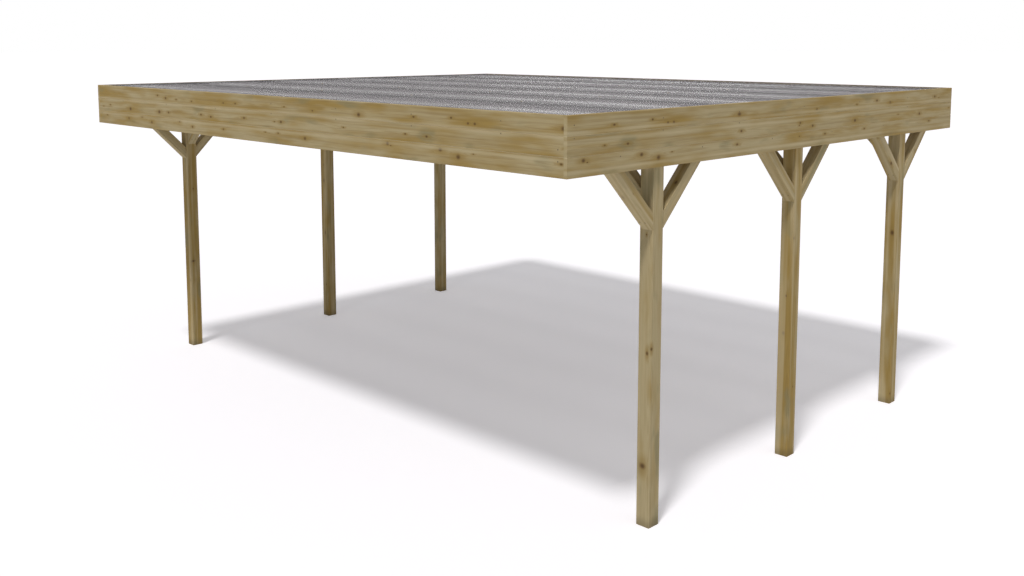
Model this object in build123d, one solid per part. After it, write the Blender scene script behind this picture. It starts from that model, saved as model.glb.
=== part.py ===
from build123d import *
import math
import os

# Double carport in planed, pressure-treated pine: six posts in two rows, each with three
# 45 degree braces, two side beams, cross beams and rafters, a deep fascia all round and a flat
# roof of tinted twin-wall sheets. Millimetres, +X to the right, +Y to the back, +Z up.
# The origin lies on the ground, under the middle of the roof.

# roof outline, over the outside of the fascia
roof_width = 5824
roof_depth = 4948

# posts, with the front and back rows set in under the roof
post_side = 100
post_height = 2305
roof_overhang = 800

# side beams, cross beams over the posts, and the lighter rafters between them
beam_width = 85
beam_height = 145
crossbeam_width = 85
rafter_width = 60
rafter_height = 145
cog_depth = 10

# braces: cut upright on the post and level under the beam, with equal reach along both
brace_width = 85
brace_depth = 75
brace_reach = 432

# fascia boards: three lamellas high, with a V groove at each glue line
fascia_thickness = 26
fascia_height = 347
fascia_lamellas = 3
fascia_groove = 3

# roof sheets of twin-wall plastic, and the T strips that cover their joints
sheet_count = 5
sheet_thickness = 16
sheet_skin = 1.8
sheet_rib = 1.2
rib_spacing = 64
sheet_clearance = 3
strip_web = 6
strip_flange_width = 46
strip_flange_thickness = 2

# planed timber has its long edges eased
edge_ease = 3

# levels: the cross timbers are notched at their ends and sit down over the side beams
beam_top = post_height + beam_height
rafter_underside = beam_top - cog_depth
rafter_top = rafter_underside + rafter_height
sheet_top = rafter_top + sheet_thickness
fascia_top = sheet_top + sheet_clearance
fascia_bottom = fascia_top - fascia_height

# what lies inside the fascia
inner_x = roof_width / 2 - fascia_thickness
inner_y = roof_depth / 2 - fascia_thickness
post_x = inner_x - post_side / 2
post_spacing = (roof_depth - post_side) / 2 - roof_overhang
rows = {"left": -1, "right": 1}
lines = {"front": -post_spacing, "middle": 0, "back": post_spacing}


def timber(x, y, z, grain):
    """A planed length of timber between the given limits, its edges along the grain eased."""
    block = Box(x[1] - x[0], y[1] - y[0], z[1] - z[0])
    block = Pos(sum(x) / 2, sum(y) / 2, sum(z) / 2) * block
    return chamfer(block.edges().filter_by(grain), edge_ease)


def centred(middle, size):
    return (middle - size / 2, middle + size / 2)


def make_posts():
    for line, y in lines.items():
        for row, side in rows.items():
            post = timber(
                centred(side * post_x, post_side), centred(y, post_side), (0, post_height), Axis.Z
            )
            yield f"post_{line}_{row}", post


def make_side_beams():
    """One beam on each row of posts, flush with their outer faces, behind the side fascia."""
    for row, side in rows.items():
        x = centred(side * (inner_x - beam_width / 2), beam_width)
        beam = timber(x, (-inner_y, inner_y), (post_height, beam_top), Axis.Y)
        yield f"side_beam_{row}", beam


def cross_timber(y, width):
    """A timber right across the roof, cogged over the side beam at each end."""
    whole = timber((-inner_x, inner_x), centred(y, width), (rafter_underside, rafter_top), Axis.X)
    for side in rows.values():
        seat = Pos(side * (inner_x - beam_width / 2), y, beam_top - cog_depth / 2)
        whole -= seat * Box(beam_width, width, cog_depth)
    return whole


def make_cross_timbers():
    """Cross beams over the posts, rafters half-way between them and at the two ends."""
    edge = inner_y - rafter_width / 2
    places = {
        "rafter_front_edge": (-edge, rafter_width),
        "crossbeam_front": (lines["front"], crossbeam_width),
        "rafter_front_bay": (lines["front"] / 2, rafter_width),
        "crossbeam_middle": (lines["middle"], crossbeam_width),
        "rafter_back_bay": (lines["back"] / 2, rafter_width),
        "crossbeam_back": (lines["back"], crossbeam_width),
        "rafter_back_edge": (edge, rafter_width),
    }
    for name, (y, width) in places.items():
        yield name, cross_timber(y, width)


def brace():
    """A 45 degree strut that runs along +X as it rises, cut upright at its foot and level on top."""
    cut = brace_depth * math.sqrt(2)
    outline = Polyline(
        (0, 0), (0, cut), (brace_reach - cut, brace_reach), (brace_reach, brace_reach), close=True
    )
    strut = extrude(Plane.XZ * make_face(outline), brace_width / 2, both=True)
    long_edges = strut.edges().filter_by(Axis((0, 0, 0), (1, 0, 1)))
    return chamfer(long_edges, edge_ease)


def make_braces():
    """Two braces under the side beam and one under the cross beam at each post."""
    strut = brace()
    beam_brace_foot = post_height - brace_reach
    cross_brace_foot = rafter_underside - brace_reach
    for line, y in lines.items():
        for row, side in rows.items():
            beam_x = side * (inner_x - brace_width / 2)
            for way, turn, step in (("forward", -90, -1), ("backward", 90, 1)):
                foot = (beam_x, y + step * post_side / 2, beam_brace_foot)
                yield f"brace_{line}_{row}_{way}", Pos(*foot) * Rot(0, 0, turn) * strut
            foot = (side * (inner_x - post_side), y, cross_brace_foot)
            turn = 180 if side > 0 else 0
            yield f"brace_{line}_{row}_inward", Pos(*foot) * Rot(0, 0, turn) * strut


def fascia(length, reach, turn):
    """A fascia board whose outer face lies at the given reach, turned to its side of the roof."""
    outer = -reach
    inner = outer + fascia_thickness
    points = [(inner, fascia_bottom), (outer + edge_ease, fascia_bottom), (outer, fascia_bottom + edge_ease)]
    for seam in range(1, fascia_lamellas):
        level = fascia_bottom + seam * fascia_height / fascia_lamellas
        points.append((outer, level - fascia_groove))
        points.append((outer + fascia_groove, level))
        points.append((outer, level + fascia_groove))
    points += [(outer, fascia_top - edge_ease), (outer + edge_ease, fascia_top), (inner, fascia_top)]
    board = extrude(Plane.YZ * make_face(Polyline(*points, close=True)), length / 2, both=True)
    return Rot(0, 0, turn) * board


def make_fascia():
    """The side boards run through, so their ends show at the corners."""
    yield "fascia_front", fascia(2 * inner_x, roof_depth / 2, 0)
    yield "fascia_right", fascia(roof_depth, roof_width / 2, 90)
    yield "fascia_back", fascia(2 * inner_x, roof_depth / 2, 180)
    yield "fascia_left", fascia(roof_depth, roof_width / 2, 270)


def twin_wall_sheet(width, length):
    """Two skins joined by upright ribs, with the channels running from front to back."""
    channels = round((width - sheet_rib) / rib_spacing)
    pitch = (width - sheet_rib) / channels
    channel = Rectangle(pitch - sheet_rib, sheet_thickness - 2 * sheet_skin)
    section = Rectangle(width, sheet_thickness) - GridLocations(pitch, 1, channels, 1) * channel
    return extrude(Plane.XZ * section, length / 2, both=True)


def joint_strip(length):
    """A T strip: its web stands between two sheets and its flange covers their edges."""
    web = Box(strip_web, length, sheet_thickness)
    flange = Box(strip_flange_width, length, strip_flange_thickness)
    return web + Pos(0, 0, (sheet_thickness + strip_flange_thickness) / 2) * flange


def make_roof():
    """Sheets laid side by side across the roof, with a strip screwed down over each joint."""
    length = 2 * (inner_y - sheet_clearance)
    room = 2 * (inner_x - sheet_clearance)
    sheet_width = (room - (sheet_count - 1) * strip_web) / sheet_count
    pitch = sheet_width + strip_web
    first = (sheet_width - room) / 2
    level = rafter_top + sheet_thickness / 2
    sheet = twin_wall_sheet(sheet_width, length)
    strip = joint_strip(length)
    strips = []
    for number in range(sheet_count):
        yield f"roof_sheet_{number + 1}", Pos(first + number * pitch, 0, level) * sheet
    for number in range(sheet_count - 1):
        strips.append(Pos(first + (number + 0.5) * pitch, 0, level) * strip)
    yield "roof_joint_strips", Compound(children=strips)


os.makedirs("parts", exist_ok=True)
for make in (make_posts, make_side_beams, make_cross_timbers, make_braces, make_fascia, make_roof):
    for name, solid in make():
        export_step(solid, f"parts/{name}.step")
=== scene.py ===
import math
import random

import bmesh
import bpy
from mathutils import Euler, Matrix, Vector


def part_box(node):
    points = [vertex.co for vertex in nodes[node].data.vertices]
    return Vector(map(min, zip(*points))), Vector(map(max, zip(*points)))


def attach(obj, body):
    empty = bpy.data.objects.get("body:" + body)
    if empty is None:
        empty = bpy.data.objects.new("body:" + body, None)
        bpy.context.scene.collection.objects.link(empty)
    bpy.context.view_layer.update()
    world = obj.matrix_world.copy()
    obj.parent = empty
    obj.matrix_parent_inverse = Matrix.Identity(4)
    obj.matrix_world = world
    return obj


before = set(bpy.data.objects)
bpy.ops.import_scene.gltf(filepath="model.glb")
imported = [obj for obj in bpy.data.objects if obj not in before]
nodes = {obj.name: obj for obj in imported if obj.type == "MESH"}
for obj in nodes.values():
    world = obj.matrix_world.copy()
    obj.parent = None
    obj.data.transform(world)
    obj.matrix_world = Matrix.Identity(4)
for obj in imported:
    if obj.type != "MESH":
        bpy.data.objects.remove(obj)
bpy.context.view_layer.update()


# --- Posts -----------------------------------------------------------------------------------
# Six planed square posts of pressure-treated pine, each sawn round the heart of a small log.
# The salts leave the pale wood greenish, with ochre streaks and small dark branch knots.


class Field:
    """A value that varies over a surface. Arithmetic on it adds Math nodes to its finish."""

    def __init__(self, finish, socket):
        self.finish = finish
        self.socket = socket

    def maths(self, operation, *others):
        return self.finish.maths(operation, self, *others)

    def __add__(self, other):
        return self.maths("ADD", other)

    def __sub__(self, other):
        return self.maths("SUBTRACT", other)

    def __rsub__(self, other):
        return self.finish.maths("SUBTRACT", other, self)

    def __mul__(self, other):
        return self.maths("MULTIPLY", other)

    def __truediv__(self, other):
        return self.maths("DIVIDE", other)

    def __rtruediv__(self, other):
        return self.finish.maths("DIVIDE", other, self)

    __radd__ = __add__
    __rmul__ = __mul__

    def rise(self, start, end):
        """0 below start, 1 above end, smooth between them."""
        limits = {"Value": self, "From Min": start, "From Max": end}
        return self.finish.node("ShaderNodeMapRange", {"interpolation_type": "SMOOTHSTEP"}, limits)

    def parts(self):
        """The three numbers of a vector."""
        split = self.finish.node("ShaderNodeSeparateXYZ", {}, {0: self})
        return [Field(self.finish, split.socket.node.outputs[axis]) for axis in range(3)]


class Finish:
    """The nodes of a material, or of the sky, while they are put together."""

    def __init__(self, holder, surface="Principled BSDF"):
        self.holder = holder
        holder.use_nodes = True
        self.tree = holder.node_tree
        self.surface = self.tree.nodes[surface]

    def node(self, kind, settings, inputs, output=0):
        """Adds a node, sets it up, feeds its sockets, and gives one of its outputs."""
        made = self.tree.nodes.new(kind)
        for setting, value in settings.items():
            if setting == "stops":
                self.set_stops(made.color_ramp, value)
            else:
                setattr(made, setting, value)
        self.feed(made, inputs)
        return Field(self, made.outputs[output])

    def set_stops(self, ramp, stops):
        while len(ramp.elements) < len(stops):
            ramp.elements.new(1)
        for element, (position, value) in zip(ramp.elements, stops):
            element.position = position
            element.color = (value, value, value, 1)

    def feed(self, node, inputs):
        for socket, value in inputs.items():
            if isinstance(value, Field):
                self.tree.links.new(value.socket, node.inputs[socket])
            else:
                node.inputs[socket].default_value = value

    def maths(self, operation, *terms):
        return self.node("ShaderNodeMath", {"operation": operation}, dict(enumerate(terms)))

    def vector(self, operation, first, second, output=0):
        return self.node("ShaderNodeVectorMath", {"operation": operation}, {0: first, 1: second}, output)

    def blend(self, share, first, second):
        """The first colour where share is 0, and the second where it is 1."""
        return self.node("ShaderNodeMix", {"data_type": "RGBA"}, {0: share, 6: first, 7: second}, 2)

    def noise(self, place, scale, detail=2.0, output=0):
        stretched = self.vector("MULTIPLY", place, scale)
        looks = {"Vector": stretched, "Scale": 1.0, "Detail": detail}
        return self.node("ShaderNodeTexNoise", {}, looks, output)

    def bump(self, height, strength, distance):
        relief = {"Height": height, "Strength": strength, "Distance": distance}
        return self.node("ShaderNodeBump", {}, relief)


def colour(red, green, blue):
    """A colour given in display values from 0 to 255."""
    shares = [value / 255 for value in (red, green, blue)]
    return (*[s / 12.92 if s <= 0.04045 else ((s + 0.055) / 1.055) ** 2.4 for s in shares], 1)


pale_pine = colour(188, 172, 134)
ochre_pine = colour(163, 134, 68)
green_pine = colour(140, 135, 103)
sapwood = colour(204, 187, 150)
late_wood = colour(138, 113, 66)
knot_wood = colour(106, 76, 43)
knot_bark = colour(62, 44, 27)
foot_shade_wood = colour(88, 78, 56)


def branch(finish, log, seed, spacing, size, spread):
    """Distance from the branches that leave the heart of a log, counted in branch radii: first from
    the knot that a branch leaves, then from the longer bend that it gives the grain."""
    missing_share, far_off = 0.25, 20
    knot_length, bend_length = 0.4, 0.08
    x, y, z = log.parts()
    cells = {"voronoi_dimensions": "1D"}
    whorl = {"W": z / spacing + seed, "Scale": 1.0, "Randomness": 0.9}
    along = finish.node("ShaderNodeTexVoronoi", cells, whorl, "Distance") * spacing
    turn, girth, chance = finish.node("ShaderNodeTexVoronoi", cells, whorl, "Color").parts()
    angle = (turn - 0.5) * spread
    cos, sin = angle.maths("COSINE"), angle.maths("SINE")
    forward = x * cos + y * sin
    aside = x * sin - y * cos
    absent = (forward.maths("LESS_THAN", 0.0) + chance.maths("LESS_THAN", missing_share)) * far_off
    radius = (girth * 0.8 + 0.4) * size
    knot = (aside * aside + along * along * knot_length).maths("SQRT") / radius + absent
    bend = (aside * aside + along * along * bend_length).maths("SQRT") / radius + absent
    return knot, bend


def pine(finish, log, grain, ring_width, knots, figure, green, ochre):
    """The colour and the relief of treated pine. Log is measured from its heart, with its grain along
    Z. Knots are their spacing, their size and how far round the log they spread. Figure is how fine
    the patches of colour are across and along the grain, and how strong its lines are. Green and
    ochre are how much of the wood has taken those tints."""
    spacing, size, spread = knots
    across, lengthways, lines = figure
    small_spacing, small_size = 1.3 * spacing, 0.6 * size
    heart_sway = (0.05, 0.05, 0)
    knot, bend = branch(finish, log, 0.37, spacing, size, spread)
    small_knot, small_bend = branch(finish, log, 5.61, small_spacing, small_size, spread)
    knot = knot.maths("MINIMUM", small_knot)
    around = 1 - bend.maths("MINIMUM", small_bend).rise(0.6, 3.0)

    sway = finish.vector("SUBTRACT", finish.noise(log, (3, 3, 0.9), 1.0, "Color"), (0.5, 0.5, 0.5))
    swayed = finish.vector("ADD", log, finish.vector("MULTIPLY", sway, heart_sway))
    radius = finish.vector("LENGTH", finish.vector("MULTIPLY", swayed, (1, 1, 0)), (0, 0, 0), "Value")
    season = (radius / ring_width + around * 1.2).maths("FRACT")
    stops = {"stops": ((0, 0), (0.45, 0.1), (0.85, 1), (1, 0))}
    late = finish.node("ShaderNodeValToRGB", stops, {0: season})

    patch = finish.noise(swayed, (across, across, lengthways), 2.0)
    cloud = finish.noise(log, (across * 0.7, across * 0.7, lengthways * 1.3), 2.0)
    streak = finish.noise(swayed, (70, 70, 1.1), 3.0)
    fibre = finish.noise(log, (420, 420, 9), 2.0)

    tone = finish.blend(patch.rise(0.56 - ochre, 1.0 - ochre) * 0.9, pale_pine, ochre_pine)
    tone = finish.blend(cloud.rise(0.6 - green, 0.8 - green) * 0.7, tone, green_pine)
    tone = finish.blend(streak.rise(0.42, 0.75) * lines, tone, late_wood)
    tone = finish.blend(late * 0.26, tone, late_wood)
    tone = finish.blend(around * 0.5, tone, ochre_pine)
    tone = finish.blend(around * around * 0.35, tone, late_wood)
    facing = finish.node("ShaderNodeNewGeometry", {}, {}, "Normal")
    cut_end = finish.vector("DOT_PRODUCT", facing, grain, "Value").maths("ABSOLUTE").rise(0.75, 0.9)
    tone = finish.blend(cut_end * 0.6, tone, pale_pine)
    tone = finish.blend((1 - knot.rise(0.4, 1.7)) * 0.8, tone, knot_wood)
    tone = finish.blend((1 - knot.rise(0.1, 1.0)) * 0.55, tone, knot_bark)
    tone = finish.blend(fibre.rise(0.35, 0.75) * 0.16, tone, late_wood)
    return tone, fibre * 0.5 + late * 0.35 + knot.rise(0.9, 1.2) * 0.4


def plane(finish, tone, relief):
    """The surface that planing leaves on timber: dull, with the grain just raised."""
    finish.feed(finish.surface, {
        "Base Color": tone,
        "Roughness": 0.64 + relief * 0.15,
        "Specular IOR Level": 0.25,
        "Normal": finish.bump(relief, 0.5, 0.0012),
    })


def centred(finish, node, turn):
    """The place on a node seen from its middle, with its grain turned to Z."""
    low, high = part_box(node)
    place = finish.node("ShaderNodeTexCoord", {}, {}, "Object")
    seat = {"Vector": place, "Location": (low + high) / 2, "Rotation": turn}
    return finish.node("ShaderNodeMapping", {"vector_type": "TEXTURE"}, seat)


def dress(node, finish):
    nodes[node].data.materials.clear()
    nodes[node].data.materials.append(finish.holder)


upwards = Vector((0, 0, 1))


def sawn(node, turn, chance, figure, green, ochre, foot_shade=0.0):
    """Gives a node timber from a log of its own. The turn swings the grain from Z to its length, and
    the last argument is how dark its foot is painted: painted shade where the timber meets the ground."""
    ring_width, foot_shade_height = 0.0045, 0.08
    knots = (0.6, 0.011, math.tau)
    finish = Finish(bpy.data.materials.new(node + "_pine"))
    grain = Euler(turn).to_matrix() @ upwards
    angle = chance.uniform(0, math.tau)
    offset = chance.uniform(0.012, 0.05)
    heart = (offset * math.cos(angle), offset * math.sin(angle), chance.uniform(-40, 40))
    log = finish.vector("ADD", centred(finish, node, turn), heart)
    tone, relief = pine(finish, log, grain, ring_width, knots, figure, green, ochre)
    band = finish.noise(log, (26, 26, 0.5), 1.0).rise(0.46, 0.66)
    tone = finish.blend(band * 0.5, tone, sapwood)
    height = finish.node("ShaderNodeTexCoord", {}, {}, "Object").parts()[2]
    # the foot is painted darker: painted shade where the timber meets the ground
    tone = finish.blend((1 - height.rise(0.0, foot_shade_height)) * foot_shade, tone, foot_shade_wood)
    plane(finish, tone, relief)
    dress(node, finish)


post_chance = random.Random(17)
post_figure = (14, 2.6, 0.2)
post_ochre = {
    "post_front_left": 0.42,
    "post_middle_left": 0.37,
    "post_back_left": 0.27,
    "post_front_right": 0.08,
    "post_middle_right": 0.42,
    "post_back_right": 0.3,
}
for name, ochre in post_ochre.items():
    sawn(name, (0, 0, 0), post_chance, post_figure, green=0.05, ochre=ochre, foot_shade=0.45)


# --- Side beams ------------------------------------------------------------------------------
# A heavier timber lies along the top of each row of posts, behind the fascia.

long_figure = (22, 0.7, 0.28)
beam_chance = random.Random(23)
for name in ("side_beam_left", "side_beam_right"):
    sawn(name, (-math.pi / 2, 0, 0), beam_chance, long_figure, green=0.04, ochre=0.2)


# --- Cross beams and rafters -----------------------------------------------------------------
# Timbers right across the roof carry the sheets. They are notched over the side beams.

cross_chance = random.Random(31)
cross_names = sorted(name for name in nodes if name.startswith(("crossbeam_", "rafter_")))
for name in cross_names:
    sawn(name, (0, math.pi / 2, 0), cross_chance, long_figure, green=0.04, ochre=0.2)


# --- Braces ----------------------------------------------------------------------------------
# Short struts at 45 degrees between each post and the beams that it carries.

brace_chance = random.Random(43)
leaning = math.pi / 4
ways_out = {
    "forward": Vector((0, -1, 0)),
    "backward": Vector((0, 1, 0)),
    "left_inward": Vector((1, 0, 0)),
    "right_inward": Vector((-1, 0, 0)),
}
braces = {
    name: way
    for name in sorted(nodes)
    for ending, way in ways_out.items()
    if name.startswith("brace_") and name.endswith(ending)
}
for name, way in braces.items():
    turn = upwards.cross(way) * leaning
    sawn(name, turn, brace_chance, long_figure, green=0.04, ochre=0.18)


# --- Fascia ----------------------------------------------------------------------------------
# Deep boards glued up from three lamellas, one above the other. A fine groove marks each seam,
# and the pale sapwood of the logs shows as a long band in each lamella.

lamellas = 3
fascia_low, fascia_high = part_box("fascia_front")
lamella_height = (fascia_high.z - fascia_low.z) / lamellas
board_figure = (13, 2.4, 0.45)
groove_painted_light = colour(216, 200, 162)
# the heart of each log lies this far in front of the middle of the board's thickness and this far
# above the middle of its lamella, but lower by the third length in the two upper lamellas
heart_out, heart_up, heart_step = 0.035, 0.02, 0.03


def glued(node, inward, start, ochre, sap):
    """Gives a node lamellas that are each cut from a log of their own. The sapwood lies at the
    first height of sap in the lowest lamella, and higher by the second in each one above."""
    ring_width, log_length, half_band = 0.005, 17.3, 0.13
    knots = (0.56, 0.0105, 1.5)
    finish = Finish(bpy.data.materials.new(node + "_pine"))
    along_board = inward.cross(upwards)
    turn = Matrix((inward, upwards, along_board)).transposed().to_euler()
    deep, height, along = centred(finish, node, turn).parts()
    level = height / lamella_height + 0.5 * lamellas
    lamella = level.maths("FLOOR")
    share = level.maths("FRACT")
    # 0 in the lowest lamella and 1 in the two above it
    upper = lamella.maths("PINGPONG", 0.5 * lamellas)
    moved = {
        "X": deep + heart_out,
        "Y": (share - 0.5) * lamella_height + upper * heart_step - heart_up,
        "Z": along + lamella * log_length + start,
    }
    log = finish.node("ShaderNodeCombineXYZ", {}, moved)
    top_lamella = lamella.maths("GREATER_THAN", lamellas - 1.5)
    ochre = ochre + top_lamella * 0.07
    tone, relief = pine(finish, log, along_board, ring_width, knots, board_figure, green=0.03, ochre=ochre)
    waver = finish.noise(log, (2, 2, 1.6), 2.0)
    above = share - lamella * sap[1] + (waver - 0.5) * 0.14 - sap[0]
    above = (above + 0.5).maths("FRACT") - 0.5
    below = 0 - above
    fade = finish.noise(log, (3, 3, 1.3), 2.0).rise(0.3, 0.7)
    pale = 1 - above.maths("ABSOLUTE").rise(0.0, half_band)
    lower_edge = below.rise(0.1, 0.2) * (1 - below.rise(0.24, 0.36))
    upper_edge = above.rise(0.07, 0.13) * (1 - above.rise(0.14, 0.24))
    tone = finish.blend((lower_edge + upper_edge) * (1 - fade) * 0.4, tone, ochre_pine)
    tone = finish.blend(pale * (fade * 0.5 + 0.12), tone, sapwood)
    # the two seams lie half a lamella from the board's middle
    seam = (level - 0.5 * lamellas).maths("ABSOLUTE") - 0.5
    # the groove is painted pale here: painted light that lifts the shade inside it
    tone = finish.blend((1 - seam.maths("ABSOLUTE").rise(0.012, 0.02)) * 0.75, tone, groove_painted_light)
    plane(finish, tone, relief)
    dress(node, finish)


board_start = 3.7
# the way inwards from each board's face, how ochre it is, and the heights of its sapwood
boards = {
    "fascia_front": (Vector((0, 1, 0)), 0.24, (0.83, 0.1)),
    "fascia_right": (Vector((-1, 0, 0)), 0.19, (0.29, 0.43)),
    "fascia_back": (Vector((0, -1, 0)), 0.23, (0.75, 0.12)),
    "fascia_left": (Vector((1, 0, 0)), 0.2, (0.32, 0.4)),
}
for number, (name, (inward, ochre, sap)) in enumerate(boards.items()):
    glued(name, inward, number * board_start, ochre, sap)


# --- Roof sheets -----------------------------------------------------------------------------
# Smoke-tinted twin-wall sheets: two thin skins joined by upright ribs. Over every timber the lower
# skin is painted with a dark band, painted shade of the timber beneath, and a softer painted shade
# spreads around it. Dark tape closes the channel ends, and along the outer long sides the same dark
# band is painted shade.

sheet_names = sorted(name for name in nodes if name.startswith("roof_sheet_"))
sheet_low, sheet_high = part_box(sheet_names[0])
roof_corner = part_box(sheet_names[-1])[1]
middle_low, middle_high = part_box("crossbeam_middle")
next_low, next_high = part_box("rafter_back_bay")
timber_spacing = (next_low.y + next_high.y - middle_low.y - middle_high.y) / 2
shade_band_half_width, shade_band_edge, end_band_width = 0.042, 0.01, 0.003
smoke_grey = colour(157, 153, 156)
shade_and_tint_grey = colour(112, 109, 111)
tape_and_shade_black = colour(58, 56, 58)

smoke = Finish(bpy.data.materials.new("smoke_sheet"))
place = smoke.node("ShaderNodeTexCoord", {}, {}, "Object")
across, along, height = place.parts()
bay = ((along / timber_spacing + 0.5).maths("FRACT") - 0.5) * timber_spacing
from_timber = bay.maths("ABSOLUTE")
lying = smoke.node("ShaderNodeNewGeometry", {}, {}, "Normal").parts()[2].maths("ABSOLUTE").rise(0.4, 0.6)
low_skin = height.maths("LESS_THAN", (sheet_low.z + sheet_high.z) / 2)
# along the outer long sides a dark band is painted shade; at the channel ends it is dark closing tape
side_shade_band = across.maths("ABSOLUTE").maths("GREATER_THAN", roof_corner.x - end_band_width)
channel_end = along.maths("ABSOLUTE").maths("GREATER_THAN", roof_corner.y - end_band_width)
cut_end = channel_end.maths("MAXIMUM", side_shade_band)
# over each timber the lower skin is painted dark and nearly opaque: painted shade of the timber beneath
timber_painted_shade = (1 - from_timber.rise(shade_band_half_width, shade_band_half_width + shade_band_edge)) * low_skin
tape_and_shade = timber_painted_shade.maths("MAXIMUM", cut_end)
# a soft darkening around each timber, on both skins, is painted shade
soft_painted_shade = 1 - from_timber.rise(0.03, 0.17)
film = smoke.noise(place, (0.9, 2.6, 1), 3.0)
shine = bay.rise(0.02, 0.16) * (1 - bay.rise(0.2, 0.4))
skin_cover = 0.24 + low_skin * (0.38 + film * 0.16) + tape_and_shade * 0.24
smoke.feed(smoke.surface, {
    "Base Color": smoke.blend(tape_and_shade, smoke.blend(soft_painted_shade * 0.8, smoke_grey, shade_and_tint_grey), tape_and_shade_black),
    "Roughness": 0.6 - shine * 0.32,
    "Specular IOR Level": 0.2,
    "Alpha": lying * skin_cover + cut_end + 0.01,
})
for name in sheet_names:
    dress(name, smoke)

# seen at a flat angle, many clear ribs lie one behind the other
bpy.context.scene.cycles.transparent_max_bounces = 64


# --- Joint strips ----------------------------------------------------------------------------
# T strips of clear plastic cover the joints between the sheets. The foot of each is smoke-tinted,
# so that no light falls between two sheets.

clear = Finish(bpy.data.materials.new("clear_strip"))
strip_low, strip_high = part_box("roof_joint_strips")
strip_height = clear.node("ShaderNodeTexCoord", {}, {}, "Object").parts()[2]
lying = clear.node("ShaderNodeNewGeometry", {}, {}, "Normal").parts()[2].maths("ABSOLUTE").rise(0.4, 0.6)
foot = lying * strip_height.maths("LESS_THAN", (strip_low.z + strip_high.z) / 2)
clear.feed(clear.surface, {
    "Base Color": clear.blend(foot, smoke_grey, shade_and_tint_grey),
    "Roughness": 0.4,
    "Specular IOR Level": 0.2,
    "Alpha": 0.07 + foot * 0.8,
})
dress("roof_joint_strips", clear)


# --- Screws ----------------------------------------------------------------------------------
# Countersunk screws of dull coated steel hold the fascia and the braces. Flat-headed ones press
# the joint strips down on every timber. Each has a six-pointed recess for its driver, painted
# dark as painted shade.

coated_steel = colour(128, 112, 78)
worn_steel = colour(158, 146, 118)
recess_shade_dark = colour(38, 33, 25)
recess_shade_speck = colour(74, 66, 50)

coating = Finish(bpy.data.materials.new("screw_steel"))
spot = coating.node("ShaderNodeTexCoord", {}, {}, "Object")
worn = coating.noise(spot, (900, 900, 900), 3.0)
coating.feed(coating.surface, {
    "Base Color": coating.blend(worn.rise(0.4, 0.7), coated_steel, worn_steel),
    "Metallic": 0.6,
    "Roughness": 0.36 + worn * 0.25,
    "Normal": coating.bump(worn, 0.3, 0.0003),
})
# the recess is painted dark, flecked a little lighter: painted shade inside it
recess_shade = Finish(bpy.data.materials.new("screw_recess_shade"))
speck = recess_shade.noise(recess_shade.node("ShaderNodeTexCoord", {}, {}, "Object"), (1500, 1500, 1500))
recess_shade.feed(recess_shade.surface, {
    "Base Color": recess_shade.blend(speck, recess_shade_dark, recess_shade_speck),
    "Roughness": 0.8,
})


def drive(mesh, seat, way, kind):
    """Adds a screw whose head faces the given way on its seat. Its kind is the width of its head at
    the top, the width underneath and how far it stands proud. Every second corner of its recess is
    drawn in, which leaves six points."""
    width, neck, proud = kind
    thickness, rim, waist = 0.003, 0.27, 0.72
    recess_slope, recess_depth = 0.0003, 0.6
    turn = way.to_track_quat("Z", "Y").to_matrix().to_4x4()
    stand = Matrix.Translation(seat + way * (proud - thickness / 2)) @ turn
    sizes = {"radius1": neck / 2, "radius2": width / 2, "depth": thickness}
    made = bmesh.ops.create_cone(mesh, cap_ends=True, segments=12, matrix=stand, **sizes)
    faces = {face for corner in made["verts"] for face in corner.link_faces}
    top = max(faces, key=lambda face: face.calc_center_median().dot(way))
    bmesh.ops.inset_individual(mesh, faces=[top], thickness=width * rim, depth=0)
    middle = seat + way * proud
    for corner in list(top.verts)[::2]:
        corner.co = middle + (corner.co - middle) * waist
    sunk = {"faces": [top], "thickness": recess_slope, "depth": -recess_depth * proud}
    wall = bmesh.ops.inset_individual(mesh, **sunk)["faces"]
    # the recess walls and floor take the second material: painted shade
    for face in (*wall, top):
        face.material_index = 1


def fit_screws(name, mesh):
    """Makes one piece of all the screws in a mesh."""
    data = bpy.data.meshes.new(name)
    mesh.to_mesh(data)
    mesh.free()
    data.materials.append(coating.holder)
    data.materials.append(recess_shade.holder)
    piece = bpy.data.objects.new(name, data)
    bpy.context.scene.collection.objects.link(piece)
    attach(piece, "root")


countersunk = (0.0095, 0.005, 0.0002)
flat_headed = (0.014, 0.015, 0.0009)

end_distance, half_gauge = 0.07, 0.02
mesh = bmesh.new()
for name, way in braces.items():
    low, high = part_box(name)
    middle = (low + high) / 2
    slope = (way + upwards).normalized()
    outwards = (way - upwards).normalized()
    half_length = (high.z - low.z) / math.sqrt(2)
    for along in (end_distance - half_length, half_length - end_distance):
        for aside in (-half_gauge, half_gauge):
            seat = middle + slope * along + way.cross(upwards) * aside
            drive(mesh, seat, outwards, countersunk)
fit_screws("brace_screws", mesh)

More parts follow.
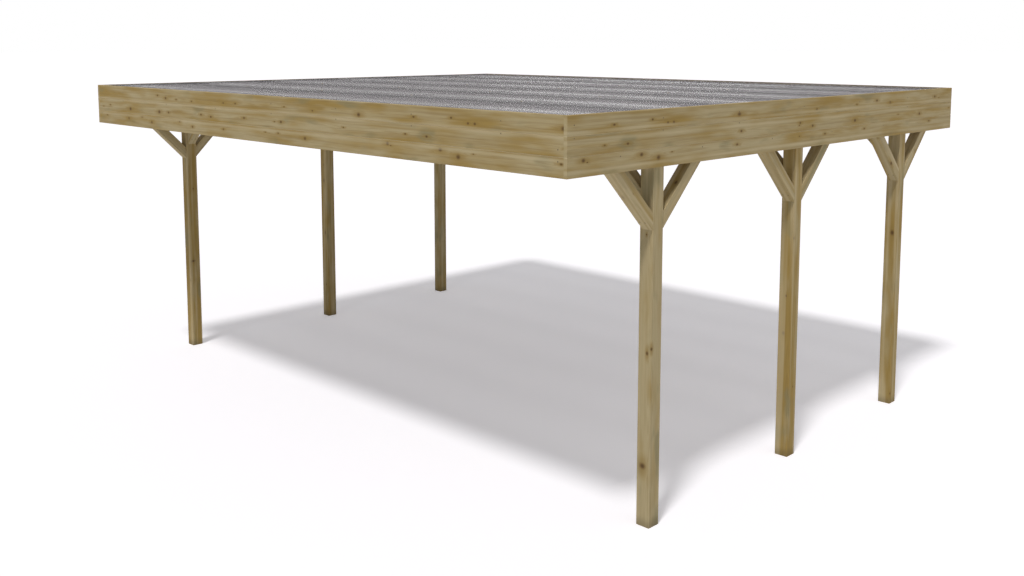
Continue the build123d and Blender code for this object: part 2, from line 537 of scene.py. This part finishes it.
timbers = [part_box(name) for name in cross_names]
timber_places = sorted((low.y + high.y) / 2 for low, high in timbers)
timber_low, timber_high = timbers[0]
upper_rows = [timber_low.z + (timber_high.z - timber_low.z) * part for part in (0.25, 0.75)]
beam_low, beam_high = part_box("side_beam_right")
beam_middle = (beam_low.x + beam_high.x) / 2
lower_rows = [beam_low.z + (beam_high.z - beam_low.z) * part for part in (0.3, 0.75)]
side_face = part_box("fascia_right")[1].x
front_face = -fascia_low.y
front_pairs, front_pitch = 7, 0.8
mesh = bmesh.new()
for side in (-1, 1):
    outwards = Vector((side, 0, 0))
    for place in timber_places:
        for row in upper_rows:
            drive(mesh, Vector((side * side_face, place, row)), outwards, countersunk)
    for first, second in zip(timber_places, timber_places[1:]):
        seat = Vector((side * side_face, (first + second) / 2, lower_rows[0]))
        drive(mesh, seat, outwards, countersunk)
    outwards = Vector((0, side, 0))
    for number in range(front_pairs):
        for row in upper_rows:
            seat = Vector(((number - (front_pairs - 1) / 2) * front_pitch, side * front_face, row))
            drive(mesh, seat, outwards, countersunk)
    for end in (-1, 1):
        for row in lower_rows:
            drive(mesh, Vector((end * beam_middle, side * front_face, row)), outwards, countersunk)
fit_screws("fascia_screws", mesh)

sheets = [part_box(name) for name in sheet_names]
mesh = bmesh.new()
for (_, left_high), (right_low, _) in zip(sheets, sheets[1:]):
    joint = (left_high.x + right_low.x) / 2
    for place in timber_places:
        drive(mesh, Vector((joint, place, strip_high.z)), upwards, flat_headed)
fit_screws("roof_screws", mesh)


# --- Floor, light and camera -----------------------------------------------------------------
# A white floor that keeps the soft shadow, an even white sky, four soft suns and the camera.

floor_reach = 300
floor_mesh = bmesh.new()
bmesh.ops.create_grid(floor_mesh, x_segments=1, y_segments=1, size=floor_reach)
floor_data = bpy.data.meshes.new("floor")
floor_mesh.to_mesh(floor_data)
floor_mesh.free()
floor = bpy.data.objects.new("floor", floor_data)
bpy.context.scene.collection.objects.link(floor)
paint = Finish(bpy.data.materials.new("floor_white"))
seen = paint.node("ShaderNodeLightPath", {}, {}, "Is Camera Ray")
plain, plain_glow = (0.8, 0.8, 0.8, 1), (0.13, 0.13, 0.13, 1)
bright, bright_glow = (0.96, 0.94, 0.96, 1), (0.305, 0.302, 0.318, 1)
paint.feed(paint.surface, {
    "Base Color": paint.blend(seen, plain, bright),
    "Roughness": 1.0,
    "Specular IOR Level": 0.0,
    "Emission Color": paint.blend(seen, plain_glow, bright_glow),
    "Emission Strength": 1.0,
})
floor_data.materials.append(paint.holder)

bpy.context.scene.world = bpy.data.worlds.new("sky")
sky = Finish(bpy.context.scene.world, "Background")
sky_level = 0.2
seen = sky.node("ShaderNodeLightPath", {}, {}, "Is Camera Ray")
for ray in ("Is Glossy Ray", "Is Transmission Ray"):
    seen = seen.maths("MAXIMUM", sky.node("ShaderNodeLightPath", {}, {}, ray))
sky.feed(sky.surface, {"Color": (1, 1, 1, 1), "Strength": seen * (1 - sky_level) + sky_level})


def lamp(name, way, energy, breadth):
    """A sun that shines from the given way, as broad as breadth degrees of sky."""
    data = bpy.data.lights.new(name, "SUN")
    data.energy = energy
    data.angle = math.radians(breadth)
    made = bpy.data.objects.new(name, data)
    made.rotation_euler = Vector(way).to_track_quat("Z", "Y").to_euler()
    bpy.context.scene.collection.objects.link(made)


lamp("key", (0.5, -1.26, 2.604), 1.8, 8)
lamp("fill", (1.0, 0.1, 0.5), 0.27, 80)
lamp("glint", (-0.62, 0.78, 0.08), 0.06, 16)
lamp("back_fill", (-0.8, 1.0, 0.5), 0.2, 80)

camera_data = bpy.data.cameras.new("camera")
camera_data.sensor_width = 36
camera_data.lens = 37.455
camera_data.shift_y = -0.1221
camera = bpy.data.objects.new("camera", camera_data)
camera.location = (6.746, -6.725, 2.998)
camera.rotation_euler = (math.radians(90 - 6.49), 0, math.radians(45.03))
bpy.context.scene.collection.objects.link(camera)
bpy.context.scene.camera = camera
bpy.context.scene.view_settings.view_transform = "Standard"
